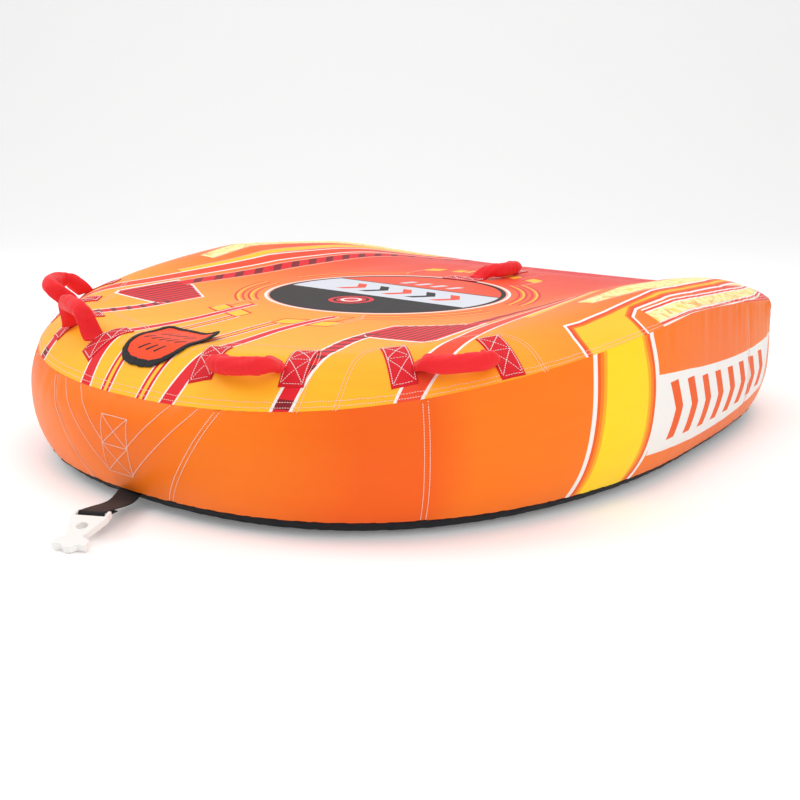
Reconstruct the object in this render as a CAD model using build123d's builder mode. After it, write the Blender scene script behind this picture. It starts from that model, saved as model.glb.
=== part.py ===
"""Towable deck tube: a fabric cover over a PVC bladder, with handles, valve flap, tow strap and hook.

Millimetres. The origin is on the floor at the tube's plan centre; the tow end points along -Y, +Z is up.
"""

import os
from math import cos, hypot, radians, sin

from build123d import *

os.makedirs("parts", exist_ok=True)

# ---------------------------------------------------------------- driving dimensions
HALF_OUTLINE = [  # widest plan line of the wall, from the nose round one side to the tail
    (0, -944), (164, -933), (325, -893), (471, -817), (591, -704), (676, -567), (731, -422),
    (763, -278), (778, -137), (778, 0), (768, 135), (755, 275), (735, 425), (708, 555),
    (655, 685), (565, 797), (445, 868), (310, 889), (150, 893), (0, 893),
]
HALF_LENGTH = 945
WIDEST_Z = 168  # height of the widest line of the wall
BASE_INSET = 100  # where the base leaves the floor
BOTTOM_SEAM = (34, 35)  # inset and height of the seam between the wall and the black base
SIDE_SEAM_Z = 365  # height of the top seam at the middle of each side
NOSE_DROP, NOSE_POWER = 128, 1.2  # how the top seam falls towards the nose
TAIL_DROP, TAIL_POWER = 105, 1.5  # and towards the tail
RIM_INSET = 150  # highest line of the deck, just inside the seam
DECK_SCALE, DECK_Z = 0.45, 343  # the flat middle of the deck
REAR_Y = 893  # the rear wall is straight behind the deck and carries the zipper

COVER = 1.2  # cover fabric
TOP_GAP = 0.6  # between the wall panels and the deck panel, taken up by the seam thread
HARNESS_LAYER = (4.0, 6.0)  # depths of the webbing between cover and bladder
PATCH_LAYER = (0.6, 2.2)  # heights above the deck of what is laid on it: handle patches
LOOP_LAYER = (0.6, 1.8)
HOOK_LAYER = (2.1, 3.3)
FLAP_LAYER = (3.6, 5.0)
BINDING_LAYER = (2.6, 6.0)

WEBBING = 51  # two-inch webbing
GRIP_R, SLEEVE_WALL, CORE = 16.5, 1.2, (26, 4)
GRIP_BOW = {  # for each handle: how far its grip bows out of its hinge line, and its angle above level
    "handle_right_inner": (50, -14), "handle_right_outer": (50, -14),
    "handle_left_inner": (46, 64), "handle_left_outer": (66, 20), "handle_rear": (42, -4),
}
GRIP_SHOULDER, GRIP_BEND = 0.27, 58  # where along the hinge line it bends, and how tightly
AXIS_GAP = 25  # hinge line of a grip above the deck

VALVE_Y = -800
FLAP_WIDTH, FLAP_FRONT, FLAP_REAR = 170, -880, -716
BINDING = 13

STRAP_YAW = 28  # the tow strap lies this far off the centre line
STRAP_WIDTH, STRAP_THICK = 54, 4
BAR_S, BAR_Z = 150, 37.5  # hook bar: distance along the strap from the exit, and height
EXIT_Y = -922
HOOK_TILT = 15
HOOK_THICK = 14
EYE_R = 11

ZIP_HALF, ZIP_Z = 262, 168


# ---------------------------------------------------------------- the inflated shape
def seam_height(y):
    share = min(abs(y) / HALF_LENGTH, 1)
    if y < 0:
        return SIDE_SEAM_Z - NOSE_DROP * share**NOSE_POWER
    return SIDE_SEAM_Z - TAIL_DROP * share**TAIL_POWER


def seam_inset(y):
    return 8 + 17 * min(max((-y - 300) / 640, 0), 1)


def deck_rise(y):
    """Height of the deck's rim above the seam: 92 at the nose, 42 at the sides, 30 at the tail."""
    share = abs(y) / HALF_LENGTH
    return 42 + (50 * share**1.5 if y < 0 else -12 * share**2)


# ---------------------------------------------------------------- stations round the outline
PANEL_CUTS = (0, 0.0944, 0.237, 0.43, 0.63, 0.86, 1)  # shares of the way from nose to tail
STEPS = (3, 5, 5, 5, 6, 3)  # stations in each stretch

half_run = Edge.make_spline([Vector(x, y) for x, y in HALF_OUTLINE], tangents=[(1, 0), (-1, 0)])
shares = [0]
for start, end, steps in zip(PANEL_CUTS, PANEL_CUTS[1:], STEPS):
    shares += [start + (end - start) * (i + 1) / steps for i in range(steps)]
RIGHT = []  # position and outward normal at each station from nose to tail on the +X side
for share in shares:
    here, way = half_run.position_at(share), half_run.tangent_at(share)
    RIGHT.append((max(here.X, 0), here.Y, way.Y, -way.X))
LEFT = [(-x, y, -nx, ny) for x, y, nx, ny in RIGHT[-2:0:-1]]
AROUND = RIGHT + LEFT + RIGHT[:1]
TAIL = len(RIGHT) - 1
CUTS = [sum(STEPS[:i]) for i in range(len(STEPS) + 1)]


def stretch(first, last):
    """Stations between two places counted round the outline from the nose; first may be negative."""
    return [AROUND[i % (2 * TAIL)] for i in range(first, last + 1)]


PANELS = {
    "front": stretch(-CUTS[1], CUTS[1]),
    "front_right": stretch(CUTS[1], CUTS[2]),
    "right": stretch(CUTS[2], CUTS[4]),
    "rear_right": stretch(CUTS[4], CUTS[5]),
    "rear": stretch(CUTS[5], 2 * TAIL - CUTS[5]),
    "rear_left": stretch(-CUTS[5], -CUTS[4]),
    "left": stretch(-CUTS[4], -CUTS[2]),
    "front_left": stretch(-CUTS[2], -CUTS[1]),
}


def wall_profile(station, depth):
    """Points (outward offset, height) of the wall at a station, from the base seam up to the top seam."""
    y = station[1]
    top = seam_height(y)
    return [
        (-BOTTOM_SEAM[0] - depth, BOTTOM_SEAM[1]),
        (-16 - depth, 66),
        (-6 - depth, 100),
        (-depth, WIDEST_Z - 25),
        (-depth, WIDEST_Z + 20),
        (-0.3 * seam_inset(y) - depth, (WIDEST_Z + top) / 2 + 15),
        (-seam_inset(y) - depth, top - depth - TOP_GAP),
    ]


def section_plane(station):
    x, y, nx, ny = station
    return Plane(origin=(x, y, 0), x_dir=(nx, ny, 0), z_dir=Vector(nx, ny, 0).cross(Vector(0, 0, 1)))


def lofted(sections):
    """A ruled solid through closed upright sections, each a plane and its points."""
    with BuildPart() as solid:
        for plane, points in sections:
            with BuildSketch(plane):
                with BuildLine():
                    Polyline(*points, close=True)
                make_face()
        loft(ruled=True)
    return solid.part


def wall_band(stations, outer, inner):
    """A skin of the wall between two depths."""
    return lofted(
        [(section_plane(s), wall_profile(s, outer) + wall_profile(s, inner)[::-1]) for s in stations]
    )


def outline_gap(x, y):
    """Distance from a plan point to the outline."""
    gaps = []
    for (x0, y0, *_), (x1, y1, *_) in zip(AROUND, AROUND[1:]):
        dx, dy = x1 - x0, y1 - y0
        t = min(max(((x - x0) * dx + (y - y0) * dy) / (dx * dx + dy * dy), 0), 1)
        gaps.append(hypot(x - x0 - t * dx, y - y0 - t * dy))
    return min(gaps)


def outline_radius(x, y):
    """Length of the ray from the plan centre through a point, out to the outline."""
    for (x0, y0, *_), (x1, y1, *_) in zip(AROUND, AROUND[1:]):
        a, b = x0 * y - y0 * x, x1 * y - y1 * x
        if a * b <= 0 and (x0 + x1) * x + (y0 + y1) * y > 0:
            t = a / (a - b) if a != b else 0
            return hypot(x0 + (x1 - x0) * t, y0 + (y1 - y0) * t)
    return HALF_LENGTH


def deck_height(x, y):
    """Height of the deck's outer face: up from the seam to the rim, then down into the flat middle."""
    reach = outline_radius(x, y)
    radius = hypot(x, y)
    edge_y = y * reach / max(radius, 1)
    rim = seam_height(edge_y) + deck_rise(edge_y)
    gap = outline_gap(x, y)
    start = seam_inset(edge_y)
    if gap < RIM_INSET:
        share = min(max((gap - start) / (RIM_INSET - start), 0), 1)
        return rim - deck_rise(edge_y) * (1 - share) ** 2
    t = (radius / reach - DECK_SCALE) / (1 - RIM_INSET / reach - DECK_SCALE)
    t = min(max(t, 0), 1)
    return DECK_Z + (rim - DECK_Z) * t * t * (3 - 2 * t)


DECK_RAY = (1, 0.955, 0.9, 0.83, 0.72, 0.58, DECK_SCALE)  # shares of the way out along each ray


def deck_profile(station, depth):
    """Points (distance from the plan centre, height) of the deck along a station's ray."""
    x, y, nx, ny = station
    ex, ey = x - nx * (seam_inset(y) + depth), y - ny * (seam_inset(y) + depth)
    points = [(hypot(ex, ey), seam_height(y) - depth)]
    for share in DECK_RAY[1:]:
        points.append((hypot(ex, ey) * share, deck_height(ex * share, ey * share) - depth))
    return points


def ray_plane(station):
    x, y, nx, ny = station
    ray = Vector(x - nx * seam_inset(y), y - ny * seam_inset(y), 0).normalized()
    return Plane(origin=(0, 0, 0), x_dir=ray, z_dir=ray.cross(Vector(0, 0, 1)))


def deck_sector(stations, outer, inner):
    return lofted(
        [(ray_plane(s), deck_profile(s, outer) + deck_profile(s, inner)[::-1]) for s in stations]
    )


def deck_middle(outer, inner):
    """The flat middle of the deck, inside the sectors."""
    corners = []
    for station in AROUND[:-1]:
        ray = ray_plane(station).x_dir
        reach = deck_profile(station, outer)[-1][0]
        corners.append((ray.X * reach, ray.Y * reach))
    with BuildPart() as disc:
        with BuildSketch(Plane.XY.offset(DECK_Z - inner)):
            with BuildLine():
                Polyline(*corners, close=True)
            make_face()
        extrude(amount=inner - outer)
    return disc.part


def save(part, name):
    part.label = name
    export_step(part, f"parts/{name}.step")


def save_group(parts, name):
    save(Compound(children=[solid for part in parts for solid in part.solids()]), name)


# ---------------------------------------------------------------- cover
VALVE_HOLE_R = 33
with BuildPart() as nose_sector:
    add(deck_sector(PANELS["front"], 0, COVER))
    with Locations((0, VALVE_Y, 300)):
        Cylinder(VALVE_HOLE_R, 120, mode=Mode.SUBTRACT)
sectors = [deck_sector(stations, 0, COVER) for name, stations in PANELS.items() if name != "front"]
save_group([nose_sector.part, deck_middle(0, COVER)] + sectors, "top_cover")

for name, stations in PANELS.items():
    save(wall_band(stations, 0, COVER), f"side_panel_{name}")

base_rings = []
for inset, height in ((BOTTOM_SEAM[0], BOTTOM_SEAM[1]), (BASE_INSET, 0)):
    base_rings.append((height, [(x - nx * inset, y - ny * inset) for x, y, nx, ny in AROUND[:-1]]))
with BuildPart() as bottom_cover:
    for lift, mode in ((0, Mode.ADD), (COVER, Mode.SUBTRACT)):
        for height, corners in base_rings:
            with BuildSketch(Plane.XY.offset(height + lift)):
                with BuildLine():
                    Polyline(*corners, close=True)
                make_face()
        loft(ruled=True, mode=mode)
save(bottom_cover.part, "bottom_cover")

# ---------------------------------------------------------------- air chamber inside the cover
CHAMBER = [(52, 40), (24, 110), (24, 200), (40, 232)]  # inset and height of its plan sections
FILM = 0.9
with BuildPart() as bladder:
    for shrink, mode in ((0, Mode.ADD), (FILM, Mode.SUBTRACT)):
        for inset, height in [(110, 4 + shrink)] + CHAMBER[:-1] + [(CHAMBER[-1][0], CHAMBER[-1][1] - shrink)]:
            with BuildSketch(Plane.XY.offset(height)):
                with BuildLine():
                    reach = inset + shrink
                    Polyline(*[(x - nx * reach, y - ny * reach) for x, y, nx, ny in AROUND[:-1]], close=True)
                make_face()
        loft(ruled=True, mode=mode)
save(bladder.part, "bladder")

BAFFLE_X = (-420, -140, 140, 420)
BAFFLE_LENGTH, BAFFLE_THICK = 900, 0.8
BAFFLE_LOW, BAFFLE_HIGH = 5.5, 230.5
with BuildPart() as bladder_baffles:
    with Locations([(x, 20, (BAFFLE_LOW + BAFFLE_HIGH) / 2) for x in BAFFLE_X]):
        Box(BAFFLE_THICK, BAFFLE_LENGTH, BAFFLE_HIGH - BAFFLE_LOW)
save(bladder_baffles.part, "bladder_baffles")


# ---------------------------------------------------------------- webbing and tape laid on the deck
ACROSS = (-1, -0.5, 0, 0.5, 1)


def deck_strip(rows, low, high):
    """A strip that follows the deck. Each row is a plan point, the strip's way there and its half width."""
    sections = []
    for (x, y), (wx, wy), half in rows:
        plane = Plane(origin=(x, y, 0), x_dir=(wy, -wx, 0), z_dir=Vector(wy, -wx, 0).cross(Vector(0, 0, 1)))
        heights = [(half * s, deck_height(x + wy * half * s, y - wx * half * s)) for s in ACROSS]
        points = [(s, z + high) for s, z in heights] + [(s, z + low) for s, z in heights[::-1]]
        sections.append((plane, points))
    return lofted(sections)


def between(start, end, share):
    return tuple(a + (b - a) * share for a, b in zip(start, end))


def patch(inner, outer):
    """A webbing patch from its inner end to its outer end."""
    length = hypot(outer[0] - inner[0], outer[1] - inner[1])
    way = ((outer[0] - inner[0]) / length, (outer[1] - inner[1]) / length)
    rows = [(between(inner, outer, i / 5), way, WEBBING / 2) for i in range(6)]
    return deck_strip(rows, *PATCH_LAYER)


HANDLES = {  # for each handle: inner and outer end of its first and second patch
    "handle_right_inner": ((143, -777), (181, -871), (322, -715), (369, -813)),
    "handle_right_outer": ((457, -622), (546, -693), (576, -480), (675, -528)),
}
for side in ("inner", "outer"):
    HANDLES[f"handle_left_{side}"] = tuple((-x, y) for x, y in HANDLES[f"handle_right_{side}"])
HANDLES["handle_rear"] = ((-50, 208), (58, 208), (-50, 408), (58, 408))
AXIS_SHARE = 0.70  # the grip leaves its patch in the outer of the two stitched boxes


def sleeve_shape(outer_radius, bore_shape):
    """A round section with a slot of the given width and height, or a round bore."""
    Circle(outer_radius)
    if isinstance(bore_shape, tuple):
        Rectangle(*bore_shape, mode=Mode.SUBTRACT)
    else:
        Circle(bore_shape, mode=Mode.SUBTRACT)


for name, (a_in, a_out, b_in, b_out) in HANDLES.items():
    save_group([patch(a_in, a_out), patch(b_in, b_out)], f"{name}_patches")
    a_flat, b_flat = between(a_in, a_out, AXIS_SHARE), between(b_in, b_out, AXIS_SHARE)
    a = Vector(*a_flat, deck_height(*a_flat) + AXIS_GAP)
    b = Vector(*b_flat, deck_height(*b_flat) + AXIS_GAP)
    chord = b - a
    unit = chord.normalized()
    outward = Vector(a_out[0] - a_in[0] + b_out[0] - b_in[0], a_out[1] - a_in[1] + b_out[1] - b_in[1], 0)
    outward = (outward - unit * outward.dot(unit)).normalized()
    upward = outward.cross(unit) if outward.cross(unit).Z > 0 else unit.cross(outward)
    rise, lean = GRIP_BOW[name]
    bow = outward * cos(radians(lean)) + upward * sin(radians(lean))
    shoulder = chord * GRIP_SHOULDER
    with BuildLine() as route:
        FilletPolyline(a, a + shoulder + bow * rise, b - shoulder + bow * rise, b, radius=GRIP_BEND)
    path = route.wire()
    start_plane = Plane(path @ 0, x_dir=unit.cross(bow), z_dir=path % 0)
    with BuildPart() as core:
        with BuildSketch(start_plane):
            Rectangle(*CORE)
        sweep(path=path)
    save(core.part, f"{name}_webbing")
    with BuildPart() as foam:
        with BuildSketch(start_plane):
            sleeve_shape(GRIP_R, (CORE[0] + 0.4, CORE[1] + 0.4))
        sweep(path=path)
    save(foam.part, f"{name}_foam")
    with BuildPart() as sleeve:
        with BuildSketch(start_plane):
            sleeve_shape(GRIP_R + 0.3 + SLEEVE_WALL, GRIP_R + 0.3)
        sweep(path=path)
    save(sleeve.part, f"{name}_sleeve")
    print("HINGE", name, *[round(v / 1000, 4) for v in a], *[round(v, 5) for v in unit],
          *[round(v, 4) for v in bow], *[round(v / 1000, 4) for v in b])

# ---------------------------------------------------------------- valve and its flap
VALVE_TOP = deck_height(0, VALVE_Y - VALVE_HOLE_R) - 8
with BuildPart() as valve_base:
    with Locations((0, VALVE_Y, VALVE_TOP - 12)):
        Cylinder(VALVE_HOLE_R - 1, 16)
    with Locations((0, VALVE_Y, VALVE_TOP - 6)):
        Cylinder(21.5, 10, mode=Mode.SUBTRACT)
    with Locations((0, VALVE_Y, VALVE_TOP - 20)):
        Cylinder(12, 30, mode=Mode.SUBTRACT)
save(valve_base.part, "valve_base")

with BuildPart() as valve_cap:
    with Locations((0, VALVE_Y, VALVE_TOP - 6)):
        Cylinder(21, 9)
    with Locations((0, VALVE_Y, VALVE_TOP - 13)):
        Cylinder(11, 6)
    with Locations((0, VALVE_Y, VALVE_TOP + 1)):
        Box(30, 6, 6)
save(valve_cap.part, "valve_cap")


def flap_rows(shrink):
    """Rows of the flap from its square rear edge to its round front."""
    half = FLAP_WIDTH / 2 - shrink
    rear, front = FLAP_REAR - shrink, FLAP_FRONT + shrink
    rows = [((0, rear), (0, -1), half - 10), ((0, rear - 10), (0, -1), half)]
    waist = -815
    for turn in (0, 25, 45, 62, 76):
        y = waist - (waist - front) * sin(radians(turn)) ** 0.78
        rows.append(((0, y), (0, -1), half * cos(radians(turn)) ** 0.78))
    return rows


def flap_prism(shrink, low, high):
    """The flap's plan outline as an upright prism."""
    rows = flap_rows(shrink)
    right = [(half, y) for (_, y), _, half in rows]
    with BuildPart() as prism:
        with BuildSketch(Plane.XY.offset(low)):
            with BuildLine():
                Polyline(*right, *[(-x, y) for x, y in right[::-1]], close=True)
            make_face()
        extrude(amount=high - low)
    return prism.part


with BuildPart() as flap_binding:
    add(deck_strip(flap_rows(0), *BINDING_LAYER))
    add(flap_prism(BINDING, 200, 400), mode=Mode.SUBTRACT)
save(flap_binding.part, "flap_binding")
save(deck_strip(flap_rows(BINDING), *FLAP_LAYER), "valve_flap")
TAPE = [((0, y), (0, -1), 60) for y in (-732, -740, -748)]
save(deck_strip(TAPE, *LOOP_LAYER), "flap_loop_tape")
save(deck_strip(TAPE, *HOOK_LAYER), "flap_hook_tape")


# ---------------------------------------------------------------- tow harness inside the nose
def wall_offset(station, height, depth):
    points = wall_profile(station, depth)
    for (r0, z0), (r1, z1) in zip(points, points[1:]):
        if z0 <= height <= z1:
            return r0 + (r1 - r0) * (height - z0) / (z1 - z0)
    return points[-1][0]


HARNESS_HEIGHTS = (45, 66, 100, 143, 188, 225)
# How far along the run the two edges of a leg lie, at its foot and at its top.
HARNESS_LOW, HARNESS_HIGH = (0.005, 0.03), (0.075, 0.09)
legs = []
for side in (1, -1):
    sections = []
    for height in HARNESS_HEIGHTS:
        share = (height - HARNESS_HEIGHTS[0]) / (HARNESS_HEIGHTS[-1] - HARNESS_HEIGHTS[0])
        corners = []
        for edge in (0, 1):
            run = HARNESS_LOW[edge] + (HARNESS_HIGH[edge] - HARNESS_LOW[edge]) * share
            here, way = half_run.position_at(run), half_run.tangent_at(run)
            station = (here.X, here.Y, way.Y, -way.X)
            for depth in HARNESS_LAYER:
                offset = wall_offset(station, height, depth)
                corners.append((side * (here.X + way.Y * offset), here.Y - way.X * offset))
        sections.append((Plane.XY.offset(height), [corners[0], corners[1], corners[3], corners[2]]))
    legs.append(lofted(sections))
save_group(legs, "tow_harness")

# ---------------------------------------------------------------- tow strap and hook
heading = Vector(sin(radians(STRAP_YAW)), -cos(radians(STRAP_YAW)), 0)
strap_plane = Plane(origin=(0, EXIT_Y, 0), x_dir=heading, z_dir=heading.cross(Vector(0, 0, 1)))
EXIT_Z = 24
BAR_R, LOOP_R = 5, 9
with BuildPart() as tow_strap:
    with BuildLine(strap_plane) as run:
        FilletPolyline((0, EXIT_Z), (26, 22), (88, 33), (BAR_S - LOOP_R - 3, BAR_Z + 1), radius=60)
    with BuildSketch(Plane(run.wire() @ 0, x_dir=strap_plane.z_dir, z_dir=run.wire() % 0)):
        Rectangle(STRAP_WIDTH, STRAP_THICK)
    sweep(path=run.wire())
    with BuildSketch(strap_plane.offset(-STRAP_WIDTH / 2)):
        with Locations((BAR_S, BAR_Z)):
            Circle(LOOP_R)
        with Locations((BAR_S - LOOP_R - 3, BAR_Z + 1)):
            Rectangle(12, STRAP_THICK)
    extrude(amount=STRAP_WIDTH)
    with BuildSketch(strap_plane.offset(-STRAP_WIDTH / 2)):
        with Locations((BAR_S, BAR_Z)):
            Circle(BAR_R + 0.4)
    extrude(amount=STRAP_WIDTH, mode=Mode.SUBTRACT)
save(tow_strap.part, "tow_strap")

hook_x = heading * cos(radians(HOOK_TILT)) - Vector(0, 0, 1) * sin(radians(HOOK_TILT))
bar_centre = Vector(0, EXIT_Y, 0) + heading * BAR_S + Vector(0, 0, BAR_Z)
hook_normal = hook_x.cross(heading.cross(Vector(0, 0, 1))) * -1
hook_plane = Plane(origin=bar_centre, x_dir=hook_x, z_dir=hook_normal)
FRAME_WIDTH, SLOT_HALF = 74, 12
NECK_HALF, EYE_S, TIP_S, ARM_HALF = 22, 46, 116, 35
with BuildPart() as tow_hook:
    with BuildSketch(hook_plane.offset(-HOOK_THICK / 2)):
        with BuildLine():
            Polyline((-6, -FRAME_WIDTH / 2), (14, -FRAME_WIDTH / 2), (52, -NECK_HALF - 4),
                     (78, -NECK_HALF + 6), (90, -ARM_HALF), (108, -ARM_HALF), (106, -16), (TIP_S, -7),
                     (TIP_S, 7), (106, 16), (108, ARM_HALF), (90, ARM_HALF), (78, NECK_HALF - 6),
                     (52, NECK_HALF + 4), (14, FRAME_WIDTH / 2), (-6, FRAME_WIDTH / 2), close=True)
        make_face()
        with Locations((0, 0)):
            Rectangle(2 * SLOT_HALF, STRAP_WIDTH + 6, mode=Mode.SUBTRACT)
        with Locations((EYE_S, 0)):
            Circle(EYE_R, mode=Mode.SUBTRACT)
    extrude(amount=HOOK_THICK)
    with BuildSketch(strap_plane.offset(-FRAME_WIDTH / 2 + 4)):
        with Locations((BAR_S, BAR_Z)):
            Circle(BAR_R)
    extrude(amount=FRAME_WIDTH - 8)
save(tow_hook.part, "tow_hook")
eye = bar_centre + hook_x * EYE_S

# ---------------------------------------------------------------- zipper in the rear wall
with BuildPart() as zipper_tape:
    with Locations([(0, REAR_Y + 1, ZIP_Z - 12), (0, REAR_Y + 1, ZIP_Z + 12)]):
        Box(2 * ZIP_HALF, 1.6, 16)
save(zipper_tape.part, "zipper_tape")

TOOTH_PITCH = 12
with BuildPart() as zipper_teeth:
    with Locations((0, REAR_Y + 1, ZIP_Z)):
        Box(2 * ZIP_HALF, 1.6, 7.8)
    teeth = int(2 * ZIP_HALF / TOOTH_PITCH)
    with GridLocations(TOOTH_PITCH, 1, teeth, 1):
        with Locations((0, REAR_Y + 2.3, ZIP_Z)):
            Box(TOOTH_PITCH / 2, 1.6, 7)
save(zipper_teeth.part, "zipper_teeth")

SLIDER_X = -ZIP_HALF + 20
with BuildPart() as zipper_slider:
    with Locations((SLIDER_X, REAR_Y + 6, ZIP_Z)):
        Box(22, 5, 16)
    with Locations((SLIDER_X + 22, REAR_Y + 7, ZIP_Z)):
        Box(34, 2.5, 9)
save(zipper_slider.part, "zipper_slider")
print("EYE", *eye, *hook_normal, "BAR", *bar_centre)  # the record's mount and hook pivot
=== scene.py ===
"""Towable tube: the looks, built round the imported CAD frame. Metres; the tow end is -Y, +Z is up."""
import math
import random

import bpy
import numpy as np
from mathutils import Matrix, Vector
from mathutils.geometry import delaunay_2d_cdt


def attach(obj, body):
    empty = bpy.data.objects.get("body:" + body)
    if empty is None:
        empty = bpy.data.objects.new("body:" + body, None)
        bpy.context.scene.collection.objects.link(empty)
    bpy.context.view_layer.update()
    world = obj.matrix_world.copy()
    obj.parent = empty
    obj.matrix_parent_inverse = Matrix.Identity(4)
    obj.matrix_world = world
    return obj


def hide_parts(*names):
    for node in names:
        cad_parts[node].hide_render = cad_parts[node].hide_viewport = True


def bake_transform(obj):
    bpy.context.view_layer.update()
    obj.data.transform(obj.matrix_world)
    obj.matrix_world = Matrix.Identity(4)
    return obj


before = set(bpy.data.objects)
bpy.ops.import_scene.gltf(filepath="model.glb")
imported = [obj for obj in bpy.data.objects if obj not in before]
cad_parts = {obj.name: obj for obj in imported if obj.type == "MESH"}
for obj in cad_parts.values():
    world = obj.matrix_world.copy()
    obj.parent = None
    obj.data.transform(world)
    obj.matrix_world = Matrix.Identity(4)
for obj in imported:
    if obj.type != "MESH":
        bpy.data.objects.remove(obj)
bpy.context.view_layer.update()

# ---------------------------------------------------------------- camera
CAMERA_DROP, CAMERA_TURN = 0.24416, 0.69516
camera_data = bpy.data.cameras.new("camera")
camera_data.lens = 54.66
camera_data.sensor_width = 36
camera = bpy.data.objects.new("camera", camera_data)
camera.location = (1.9316, -2.3688, 0.8120)
camera.rotation_euler = (math.pi / 2 - CAMERA_DROP, 0, CAMERA_TURN)
bpy.context.scene.collection.objects.link(camera)
bpy.context.scene.camera = camera

# ---------------------------------------------------------------- the inflated shape, close to the CAD
HALF_OUTLINE = [
    (0, -944), (164, -933), (325, -893), (471, -817), (591, -704), (676, -567), (731, -422),
    (763, -278), (778, -137), (778, 0), (768, 135), (755, 275), (735, 425), (708, 555),
    (655, 685), (565, 797), (445, 868), (310, 889), (150, 893), (0, 893),
]
HALF_LENGTH = 0.945
WIDEST_Z = 0.168
SEAM_INSET, SEAM_Z = 0.034, 0.035  # of the lower seam
RIM_INSET = 0.15
MIDDLE_SHARE, MIDDLE_Z = 0.45, 0.343


def closed_curve(points, per_span):
    """A smooth closed curve through plan points."""
    p = np.array(points, float)
    before, after, later = np.roll(p, 1, 0), np.roll(p, -1, 0), np.roll(p, -2, 0)
    rows = []
    for t in np.arange(per_span) / per_span:
        rows.append(0.5 * (2 * p + (after - before) * t + (2 * before - 5 * p + 4 * after - later) * t**2
                           + (3 * p - before - 3 * after + later) * t**3))
    return np.stack(rows, 1).reshape(-1, 2)


ring = np.array(HALF_OUTLINE + [(-x, y) for x, y in HALF_OUTLINE[-2:0:-1]]) / 1000  # millimetres to metres
outline = closed_curve(ring, 24)
steps = np.hypot(*np.diff(np.vstack([outline, outline[:1]]), axis=0).T)
run = np.concatenate([[0], np.cumsum(steps)])
LOOP = run[-1]
HALF_RUN = LOOP / 2
closed = np.vstack([outline, outline[:1]])
tangent = np.roll(outline, -1, 0) - np.roll(outline, 1, 0)
tangent /= np.linalg.norm(tangent, axis=1)[:, None]
normal = np.stack([tangent[:, 1], -tangent[:, 0]], 1)
closed_normal = np.vstack([normal, normal[:1]])
ray_angle = np.unwrap(np.arctan2(closed[:, 0], -closed[:, 1]))
ray_reach = np.hypot(closed[:, 0], closed[:, 1])


def seam_height(y):
    share = np.clip(np.abs(y) / HALF_LENGTH, 0, 1)
    return np.where(y < 0, 0.365 - 0.128 * share**1.2, 0.365 - 0.105 * share**1.5)


def seam_inset(y):
    return 0.008 + 0.017 * np.clip((-y - 0.3) / 0.64, 0, 1)


def deck_rise(y):
    share = np.abs(y) / HALF_LENGTH
    # the rear corners blow up a little fuller than the CAD chamber
    corner = 0.016 * np.exp(-(((y - 0.52) / 0.26) ** 2))
    return 0.042 + np.where(y < 0, 0.05 * share**1.5, -0.012 * share**2) + corner


def nearest_run(x, y):
    """Distance to the outline, and how far round it that nearest place is."""
    gap, place = np.empty(x.shape), np.empty(x.shape)
    for start in range(0, len(x), 2000):
        part = slice(start, start + 2000)
        d2 = (x[part, None] - outline[:, 0]) ** 2 + (y[part, None] - outline[:, 1]) ** 2
        index = d2.argmin(1)
        gap[part] = np.sqrt(d2[np.arange(len(index)), index])
        place[part] = run[index]
    return gap, place


def puckers(place, seed):
    """A ruffle along a sewn seam, from -1 to 1."""
    wave = np.zeros_like(place)
    draw = random.Random(seed)
    for count in (61, 83, 118, 147, 191):
        wave += np.sin(2 * math.pi * count * place / LOOP + draw.uniform(0, 6.28)) * draw.uniform(0.5, 1)
    return wave / 2.6


def deck_height(x, y, ruffle=True):
    x, y = np.atleast_1d(np.asarray(x, float)), np.atleast_1d(np.asarray(y, float))
    radius = np.hypot(x, y)
    angle = np.arctan2(x, -y) % (2 * math.pi)
    reach = np.interp(angle, ray_angle, ray_reach)
    edge_y = y * reach / np.maximum(radius, 1e-3)
    gap, place = nearest_run(x, y)
    rim = seam_height(edge_y) + deck_rise(edge_y)
    start = seam_inset(edge_y)
    share = np.clip((gap - start) / (RIM_INSET - start), 0, 1)
    slope = rim - deck_rise(edge_y) * (1 - share) ** 2
    t = np.clip((radius / reach - MIDDLE_SHARE) / (1 - RIM_INSET / reach - MIDDLE_SHARE), 0, 1)
    dish = MIDDLE_Z + (rim - MIDDLE_Z) * t * t * (3 - 2 * t)
    height = np.where(gap < RIM_INSET, slope, dish)
    if ruffle:
        edge = gap - start
        fade = np.exp(-edge / 0.035) * np.clip(edge / 0.012, 0, 1)
        height = height + fade * 0.0016 * (1 + np.clip(edge_y, 0, 1)) * puckers(place, 3)
    return height


def wall_point(place, share, out=0.0):
    """A point of the wall.

    place runs round the outline from the nose, share from the lower seam to the top one.
    """
    along = np.asarray(place, float) % LOOP
    x, y = np.interp(along, run, closed[:, 0]), np.interp(along, run, closed[:, 1])
    nx, ny = np.interp(along, run, closed_normal[:, 0]), np.interp(along, run, closed_normal[:, 1])
    top, inset = seam_height(y), seam_inset(y)
    z = SEAM_Z + (top - SEAM_Z) * share
    below = np.clip((WIDEST_Z - z) / (WIDEST_Z - SEAM_Z), 0, 1)
    above = np.clip((z - WIDEST_Z) / (top - WIDEST_Z), 0, 1)
    offset = -SEAM_INSET * below**2.4 - inset * above**2
    rear = np.clip(y, 0, 1)
    offset = offset + 0.0020 * (1 + 4 * rear) * puckers(along, 5) * np.exp(-(1 - share) / 0.17) \
        * np.clip((1 - share) / 0.03, 0, 1)
    offset = offset + 0.0016 * puckers(along, 9) * np.exp(-share / 0.12) * np.clip(share / 0.03, 0, 1)
    for seam in PANEL_SEAMS:
        away = np.abs(signed(along) - np.interp(share, (0, 1), seam))
        offset = offset - 0.0022 * np.exp(-(away / 0.007) ** 2)
    offset = offset + out
    return np.stack([x + nx * offset, y + ny * offset, z * np.ones_like(x)], -1)


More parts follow.
